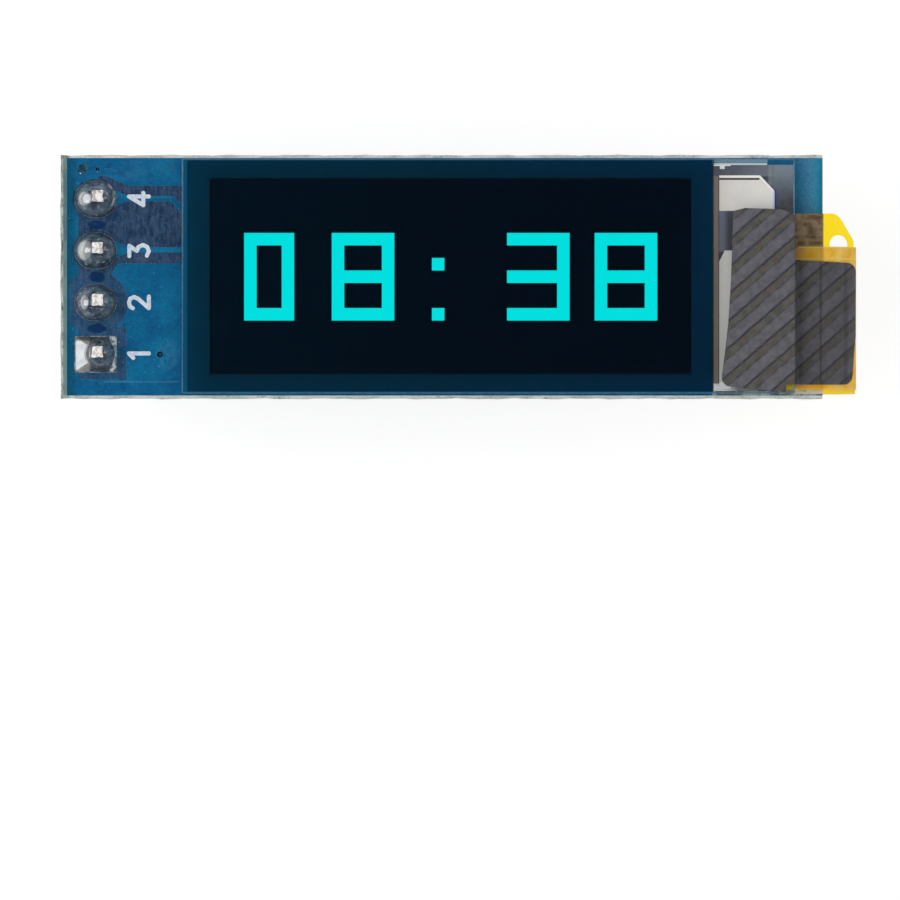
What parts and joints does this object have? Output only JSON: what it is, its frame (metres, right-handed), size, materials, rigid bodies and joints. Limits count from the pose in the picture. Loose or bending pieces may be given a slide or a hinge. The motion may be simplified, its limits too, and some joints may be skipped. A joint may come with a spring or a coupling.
{
  "type": "small oled display module",
  "caption": "Small OLED display on a narrow circuit board, with a folded flex circuit and a pin header soldered on from behind.",
  "frame": {"origin": "middle of the pin row, on the underside of the header's housing", "axes": "+X runs along the board to the flex end, +Y along the pin row, +Z out of the screen"},
  "size_m": [0.0392, 0.012, 0.0115],
  "materials": {
    "laminate": "rough broken glass-epoxy edge",
    "copper": "satin foil",
    "solder_mask": "glossy blue lacquer",
    "header_plastic": "satin black moulding",
    "pin_metal": "tinned, with rough cut ends",
    "solder": "bright solder",
    "foam_tape": "matt foam",
    "bare_glass": "polished",
    "sealing_resin": "cured resin",
    "protective_resin": "cured grey resin",
    "pixel_layer": "black screen layer",
    "polariser_film": "glossy dark film",
    "electrode_metal": "thin metal film",
    "silicon": "polished die",
    "polyimide": "clear yellow film",
    "amber_film": "amber cover film",
    "striped_tape": "grey tape with slanting olive stripes",
    "moulding_compound": "matt black epoxy",
    "tinned_metal": "satin tin",
    "capacitor_body": "sintered ceramic",
    "resistor_body": "black glazed top"
  },
  "bodies": {
    "root": {"circuit_board": "laminate", "front_copper": "copper", "back_copper": "copper", "front_solder_mask": "solder_mask", "back_solder_mask": "solder_mask", "header_housing": "header_plastic", "mounting_tape": "foam_tape", "cap_glass": "bare_glass", "edge_seal": "sealing_resin", "pixel_layer": "pixel_layer", "display_glass": "bare_glass", "polariser": "polariser_film", "electrode_film": "electrode_metal", "driver_chip": "silicon", "ledge_coat": "protective_resin", "flex_circuit": "polyimide", "flex_cover": "amber_film", "flex_solder": "solder", "shading_tape": "striped_tape", "regulator_body": "moulding_compound", "regulator_leads": "tinned_metal", "header_pin_1": "pin_metal", "pin_solder_1": "solder", "header_pin_2": "pin_metal", "pin_solder_2": "solder", "header_pin_3": "pin_metal", "pin_solder_3": "solder", "header_pin_4": "pin_metal", "pin_solder_4": "solder", "capacitor_1": "capacitor_body", "capacitor_1_ends": "tinned_metal", "resistor_1": "resistor_body", "resistor_1_ends": "tinned_metal", "capacitor_2": "capacitor_body", "capacitor_2_ends": "tinned_metal", "capacitor_3": "capacitor_body", "capacitor_3_ends": "tinned_metal", "resistor_2": "resistor_body", "resistor_2_ends": "tinned_metal", "capacitor_4": "capacitor_body", "capacitor_4_ends": "tinned_metal", "capacitor_5": "capacitor_body", "capacitor_5_ends": "tinned_metal", "resistor_3": "resistor_body", "resistor_3_ends": "tinned_metal", "capacitor_6": "capacitor_body", "capacitor_6_ends": "tinned_metal", "capacitor_7": "capacitor_body", "capacitor_7_ends": "tinned_metal", "resistor_4": "resistor_body", "resistor_4_ends": "tinned_metal"}
  },
  "joints": []
}
